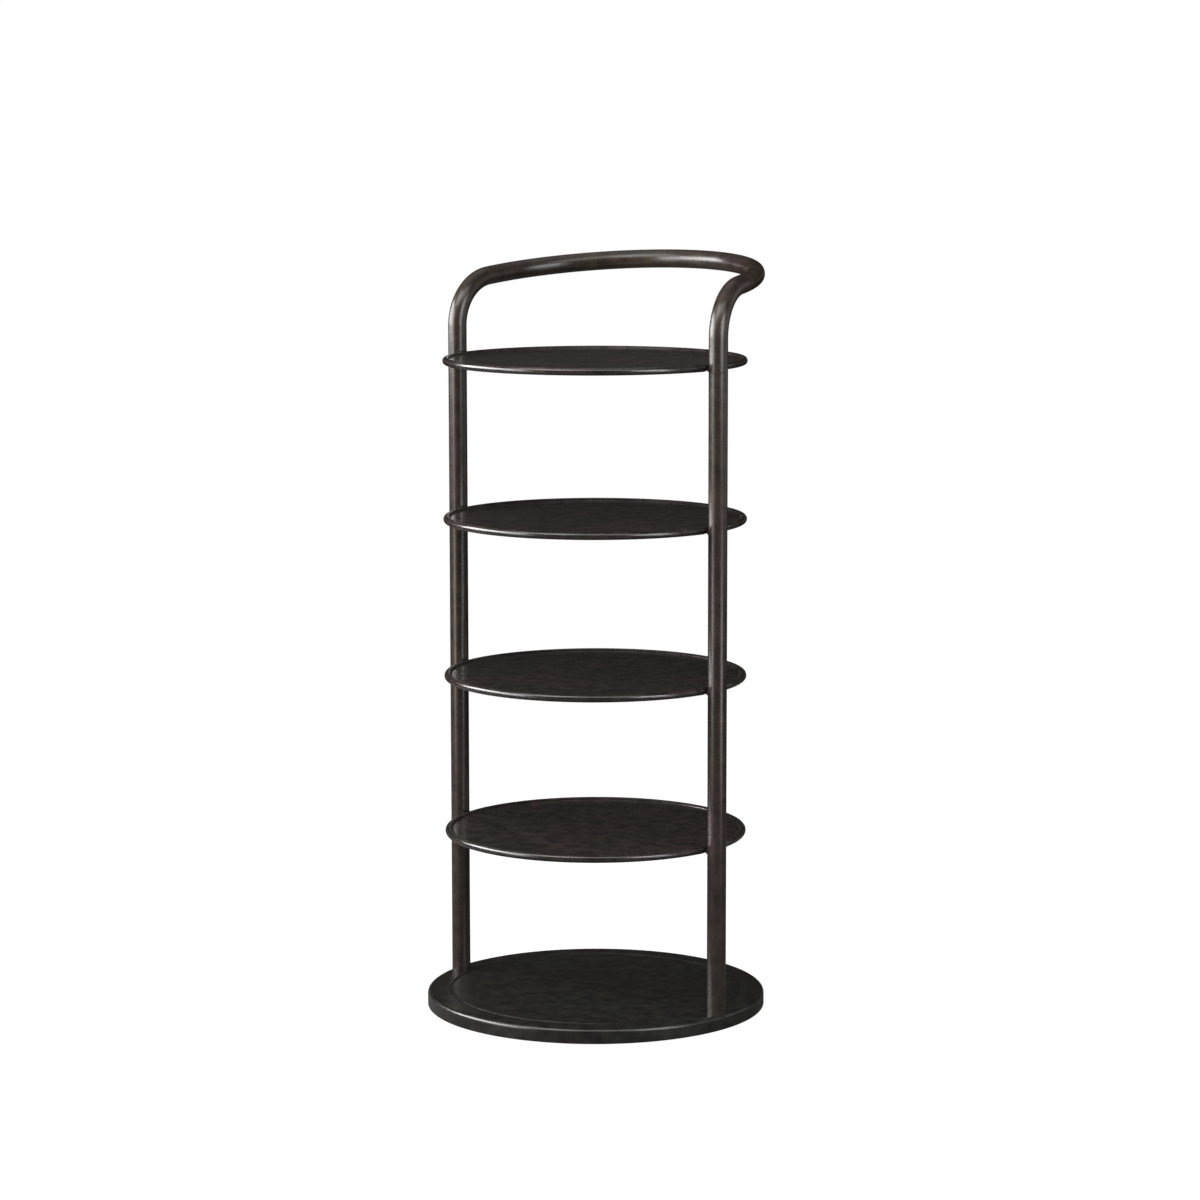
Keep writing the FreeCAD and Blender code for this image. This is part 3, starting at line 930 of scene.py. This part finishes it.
def weld_lines():
    """Lines under the tabs, along the tubes, where the weld runs."""
    swing = math.degrees(math.asin(TAB_WIDTH / 2 / TUBE_RADIUS))
    arc = arc_points((POST_CIRCLE, 0), TUBE_RADIUS + WELD_OFFSET,
                     180 - swing, 180 + swing, WELD_LINE_STEPS)
    meshes = []
    for height in PANS.values():
        under = height + FLOOR_BOTTOM - TAB_THICKNESS
        for side in SIDES:
            line = line_mesh("weld_line", [(x, y, under) for x, y in arc])
            line.transform(Matrix.Rotation(outward_turn(side), 4, "Z"))
            meshes.append(line)
    return joined(meshes, "weld_lines")


# Base

def ring_points(sheet_depth):
    """Section of the pressed ring from the inside out, on a face at a depth in the sheet."""
    turn = math.degrees(math.acos(1 - RING_DEPTH / (2 * RING_BEND)))
    half = 2 * RING_BEND * math.sin(math.radians(turn))
    lip = RING_BEND - sheet_depth
    lip_height = BASE_HEIGHT - RING_BEND
    bed = (RING_RADIUS, BASE_HEIGHT - RING_DEPTH + RING_BEND)
    bed_bend = RING_BEND + sheet_depth
    points = arc_points((RING_RADIUS - half, lip_height), lip, 90, 90 - turn, RING_LIP_STEPS)
    points += arc_points(bed, bed_bend, 270 - turn, 270 + turn, RING_BED_STEPS)
    points += arc_points((RING_RADIUS + half, lip_height), lip, 90 + turn, 90, RING_LIP_STEPS)
    return points


def cover_top():
    """Section of the cover's outside, from its upright side to the middle of its top."""
    middle = (BASE_RADIUS - BASE_EDGE_RADIUS, BASE_HEIGHT - BASE_EDGE_RADIUS)
    edge = arc_points(middle, BASE_EDGE_RADIUS, 0, 90, BASE_EDGE_STEPS)
    return edge + ring_points(0)[::-1] + [(0, BASE_HEIGHT)]


def outside_profile():
    """The base's outside as a filled section."""
    return [(0, BASE_FLOOR_GAP), (BASE_RADIUS, BASE_FLOOR_GAP)] + cover_top()


def cover_profile():
    """Pressed cap with a ring groove, open below, its skirt's lower edge rounded."""
    edge = BASE_EDGE_RADIUS
    lip = BASE_SHEET / 2
    middle = (BASE_RADIUS - edge, BASE_HEIGHT - edge)
    skirt = (BASE_RADIUS - lip, BASE_FLOOR_GAP + lip)
    points = [(0, BASE_HEIGHT - BASE_SHEET)]
    points += ring_points(BASE_SHEET)
    points += arc_points(middle, edge - BASE_SHEET, 90, 0, BASE_INNER_EDGE_STEPS)
    points += arc_points(skirt, lip, 180, 360, SKIRT_STEPS)
    return points + cover_top()


def pad_profile():
    """Round pad, eased at the floor, with two moulded grooves underneath."""
    groove = PAD_GROOVE
    points = [(0, 0)]
    for share in PAD_GROOVE_SHARES:
        middle = PAD_RADIUS * share
        points += [(middle - 2 * groove, 0), (middle - groove, groove)]
        points += [(middle + groove, groove), (middle + 2 * groove, 0)]
    points += arc_points((PAD_RADIUS - PAD_EDGE, PAD_EDGE), PAD_EDGE, -90, 0, PAD_EDGE_STEPS)
    points += [(PAD_RADIUS, BOARD_BOTTOM), (0, BOARD_BOTTOM)]
    return points


def pad_places():
    """Places of the pads, evenly round the base from the back on."""
    places = []
    for number in range(PAD_COUNT):
        turn = math.pi / 2 + math.tau / PAD_COUNT * number
        places.append(Vector((math.cos(turn), math.sin(turn), 0)) * (BASE_RADIUS - PAD_INSET))
    return places


# Making the pieces

def make_pans():
    shape = pan_mesh()
    for name, height in PANS.items():
        finished_piece("rolled_" + name, raised(shape, height, name), "black_pan_paint", name)


def make_pan_screws():
    one = countersunk_screw()
    for name, height in PANS.items():
        node = name.replace("pan", "screws")
        places = screw_points(height + FLOOR_TOP)
        mesh = copied_screws(node, one.copy(), places, BLACK_OXIDE, UNTURNED, head_height=0)
        finished_piece("keyed_" + node, mesh, "black_screw", node)


def make_tubes():
    for side in SIDES:
        name = "post_" + side
        post = soften(post_mesh(name, side), weighted=False)
        finished_piece("tube_" + name, post, "black_tube_paint", name)
    hoop = soften(tube_mesh("handle_hoop", hoop_points()), weighted=False)
    finished_piece("bent_handle_hoop", hoop, "black_tube_paint", "handle_hoop")


def make_tabs():
    for side in SIDES:
        for name, height in PANS.items():
            node = name.replace("pan", "tab") + "_" + side
            tab = tab_mesh(side, height, node)
            finished_piece("eased_" + node, tab, "black_tube_paint", node)
    welds = made_by(WELD, weld_lines(), "tab_welds", TAB_PAINT, Bead_radius=WELD_RADIUS,
                    Spacing=WELD_SPACING, Unevenness=WELD_UNEVENNESS, Seed=WELD_SEED)
    finished_piece("tab_welds", soften(welds, WELD_CREASE, weighted=False), "black_tube_paint")


def make_lock_screws():
    places = [post_axis(side, JOINT - LOCK_DROP) + BACKWARD * TUBE_RADIUS for side in SIDES]
    mesh = copied_screws("hoop_lock_screws", domed_screw(), places, BLACK_OXIDE, HEAD_BACKWARD,
                         head_height=LOCK_HEAD_HEIGHT)
    finished_piece("domed_lock_screws", mesh, "black_screw", "hoop_lock_screws")


def make_base():
    cover = soften(turned("base_cover", cover_profile(), BASE_PAINT))
    finished_piece("pressed_base_cover", cover, "black_base_paint", "base_cover")
    pad = turned("pad", pad_profile(), RUBBER, PAD_SEGMENTS)
    pads = copied("base_pads", soften(pad, SMALL_PIECE_CREASE, weighted=False), pad_places(),
                  RUBBER, UNTURNED)
    nodes = ["base_pad_%d" % (number + 1) for number in range(PAD_COUNT)]
    finished_piece("moulded_base_pads", pads, "pad_rubber", *nodes)
    seat = BOARD_BOTTOM + BOLT_RECESS - BOLT_WASHER
    places = [post_axis(side, seat) for side in SIDES]
    bolts = copied_screws("foot_bolts", bolt(), places, ZINC, HEAD_DOWN, BOLT_HEAD_HEIGHT,
                          BOLT_SOCKET_RADIUS, BOLT_SOCKET_DEPTH)
    finished_piece("keyed_foot_bolts", bolts, "zinc_steel", "foot_bolts")


def finish_nodes():
    """Finishes for the nodes whose shape is right as it is."""
    finishes = {"base_board": BOARD_FINISH, "foot_washers": ZINC}
    for side in SIDES:
        finishes["post_plug_" + side] = ZINC
        finishes["hoop_spigot_" + side] = ZINC
    for name, material in finishes.items():
        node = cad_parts[name]
        node.data.materials.clear()
        node.data.materials.append(material)


# Room, lights and camera

CAMERA_PLACE = (2.20647, -3.00774, 0.94531)
CAMERA_VIEW = (-0.584670, 0.799121, -0.139883)
CAMERA_ROLL = -0.0594
CAMERA_LENS = 111.381
SENSOR_WIDTH = 36.0
CAMERA_REACH = 50


def make_camera():
    """The photograph's camera."""
    data = bpy.data.cameras.new("camera")
    data.lens = CAMERA_LENS
    data.sensor_width = SENSOR_WIDTH
    data.clip_end = CAMERA_REACH
    camera = bpy.data.objects.new("camera", data)
    bpy.context.scene.collection.objects.link(camera)
    forward = Vector(CAMERA_VIEW).normalized()
    right = forward.cross(UP).normalized()
    above = right.cross(forward)
    turn = Matrix((right, above, -forward)).transposed()
    roll = Matrix.Rotation(math.radians(CAMERA_ROLL), 3, "Z")
    camera.matrix_world = Matrix.Translation(CAMERA_PLACE) @ (turn @ roll).to_4x4()
    bpy.context.scene.camera = camera


def from_camera(degrees_left, distance, height):
    """Point round the rack, by its angle to the left of the camera's side."""
    facing = math.atan2(CAMERA_PLACE[1], CAMERA_PLACE[0])
    turn = facing - math.radians(degrees_left)
    return Vector((math.cos(turn) * distance, math.sin(turn) * distance, height))


def soft_box(name, place, aim, width, tall, watts):
    """Oblong lamp that the camera doesn't see."""
    data = bpy.data.lights.new(name, "AREA")
    data.shape = "RECTANGLE"
    data.size = width
    data.size_y = tall
    data.energy = watts
    lamp = bpy.data.objects.new(name, data)
    bpy.context.scene.collection.objects.link(lamp)
    facing = (Vector(aim) - Vector(place)).to_track_quat("-Z", "Y")
    lamp.matrix_world = Matrix.Translation(place) @ facing.to_matrix().to_4x4()
    lamp.visible_camera = False


def standing_lamp(name, aim, degrees_left, distance, height, **form):
    """Lamp placed from the camera's side."""
    soft_box(name, from_camera(degrees_left, distance, height), aim, **form)


# Upright lamps, which face the rack's axis at their own height
UPRIGHT_LAMPS = {
    "left_window": dict(degrees_left=94, distance=1.8, height=1.10, width=1.5, tall=1.0, watts=56),
    "left_wing": dict(degrees_left=62, distance=1.6, height=0.93, width=0.5, tall=0.94, watts=10.5),
    "left_low": dict(degrees_left=58, distance=1.8, height=0.14, width=0.8, tall=0.26, watts=3.4),
    "right_strip": dict(degrees_left=-42, distance=1.6, height=1.0, width=0.74, tall=0.9, watts=13),
    "right_low": dict(degrees_left=-50, distance=1.6, height=0.14, width=0.5, tall=0.26, watts=2.2),
    "right_wall": dict(degrees_left=-95, distance=2.4, height=0.9, width=2.4, tall=1.4, watts=5),
}

# High lamps, which face the rack's middle. Only its round edges mirror them to the camera
HIGH_LAMPS = {
    "front_panel": dict(degrees_left=8, distance=1.6, height=2.6, width=3.0, tall=1.0, watts=24),
    "left_high": dict(degrees_left=50, distance=1.6, height=2.3, width=1.75, tall=1.2, watts=18),
}
RACK_MIDDLE = (0, 0, 0.5)
CEILING_PLACE = (-0.4, 0.2, 2.6)
CEILING_SIZE = 1.8
CEILING_WATTS = 4

# Light of the room round the lamps, spread over the height of the direction that it comes from
OVERHEAD_SPAN = (0.1, 0.8)
OVERHEAD_GLOW = (0.006, 0.08)
WALL_SPAN = (0.0, 0.11)
WALL_GLOW = (0.13, 0.0)
WALL_COLOUR = (1.0, 0.90, 0.82, 1)
HORIZON_SPAN = (-0.01, 0.0)

# Floor
FLOOR_REACH = 2.4
FLOOR_FADE_SPAN = (0.96, 2.28)
FLOOR_SEGMENTS = 96
FLOOR_DROP = 0.2 * MM
FLOOR_GREY = (0.13, 0.13, 0.13, 1)
FLOOR_GLOW = 0.95


def make_lights():
    for name, lamp in UPRIGHT_LAMPS.items():
        standing_lamp(name, (0, 0, lamp["height"]), **lamp)
    for name, lamp in HIGH_LAMPS.items():
        standing_lamp(name, RACK_MIDDLE, **lamp)
    soft_box("ceiling", CEILING_PLACE, RACK_MIDDLE, CEILING_SIZE, CEILING_SIZE, CEILING_WATTS)


def seen_directly(tree, path):
    """1 for rays from the camera and through glass, 0 for others."""
    return maths(tree, "MAXIMUM", path.outputs["Is Camera Ray"],
                 path.outputs["Is Transmission Ray"])


def make_world():
    """White to the eye. The lamps' room is dim, paler overhead, and the gloss shows its wall."""
    world = bpy.data.worlds.new("studio")
    bpy.context.scene.world = world
    world.use_nodes = True
    tree = world.node_tree
    tree.nodes.clear()
    path = step(tree, "ShaderNodeLightPath")
    where = step(tree, "ShaderNodeTexCoord").outputs["Generated"]
    height = step(tree, "ShaderNodeSeparateXYZ", {0: where}).outputs["Z"]
    overhead = spread(tree, height, OVERHEAD_SPAN, OVERHEAD_GLOW)
    low_wall = spread(tree, height, WALL_SPAN, WALL_GLOW)
    standing = maths(tree, "MULTIPLY", low_wall, spread(tree, height, HORIZON_SPAN))
    wall = maths(tree, "MULTIPLY", standing, path.outputs["Is Glossy Ray"])
    room = step(tree, "ShaderNodeBackground", {"Color": WHITE, "Strength": overhead})
    glow = step(tree, "ShaderNodeBackground", {"Color": WALL_COLOUR, "Strength": wall})
    dim = step(tree, "ShaderNodeAddShader", {0: room.outputs[0], 1: glow.outputs[0]})
    white = step(tree, "ShaderNodeBackground", {"Color": WHITE, "Strength": 1.0})
    both = step(tree, "ShaderNodeMixShader", {
        0: seen_directly(tree, path), 1: dim.outputs[0], 2: white.outputs[0],
    })
    step(tree, "ShaderNodeOutputWorld", {"Surface": both.outputs[0]})


def make_floor():
    """Pale round floor that fades into the white room. It keeps the rack's shadow."""
    mesh = bpy.data.meshes.new("floor")
    work = bmesh.new()
    bmesh.ops.create_circle(work, cap_ends=True, radius=FLOOR_REACH, segments=FLOOR_SEGMENTS)
    bmesh.ops.translate(work, verts=work.verts, vec=-UP * FLOOR_DROP)
    work.to_mesh(mesh)
    work.free()
    material, tree, where = start_finish("pale_floor")
    reach = step(tree, "ShaderNodeVectorMath", {0: where}, operation="LENGTH").outputs["Value"]
    fade = spread(tree, reach, FLOOR_FADE_SPAN)
    directly = seen_directly(tree, step(tree, "ShaderNodeLightPath"))
    plain = step(tree, "ShaderNodeBsdfDiffuse", {"Color": FLOOR_GREY})
    glow = step(tree, "ShaderNodeEmission", {"Color": WHITE, "Strength": FLOOR_GLOW})
    lifted = step(tree, "ShaderNodeAddShader", {0: plain.outputs[0], 1: glow.outputs[0]})
    seen = step(tree, "ShaderNodeMixShader", {
        0: directly, 1: plain.outputs[0], 2: lifted.outputs[0],
    })
    open_air = step(tree, "ShaderNodeBsdfTransparent")
    faded = step(tree, "ShaderNodeMixShader", {0: fade, 1: seen.outputs[0], 2: open_air.outputs[0]})
    step(tree, "ShaderNodeOutputMaterial", {"Surface": faded.outputs[0]})
    mesh.materials.append(material)
    new_object("floor", mesh)


make_camera()
make_world()
make_lights()
make_floor()
make_pans()
make_pan_screws()
make_tubes()
make_tabs()
make_lock_screws()
make_base()
finish_nodes()

bpy.context.scene.view_settings.view_transform = "Standard"
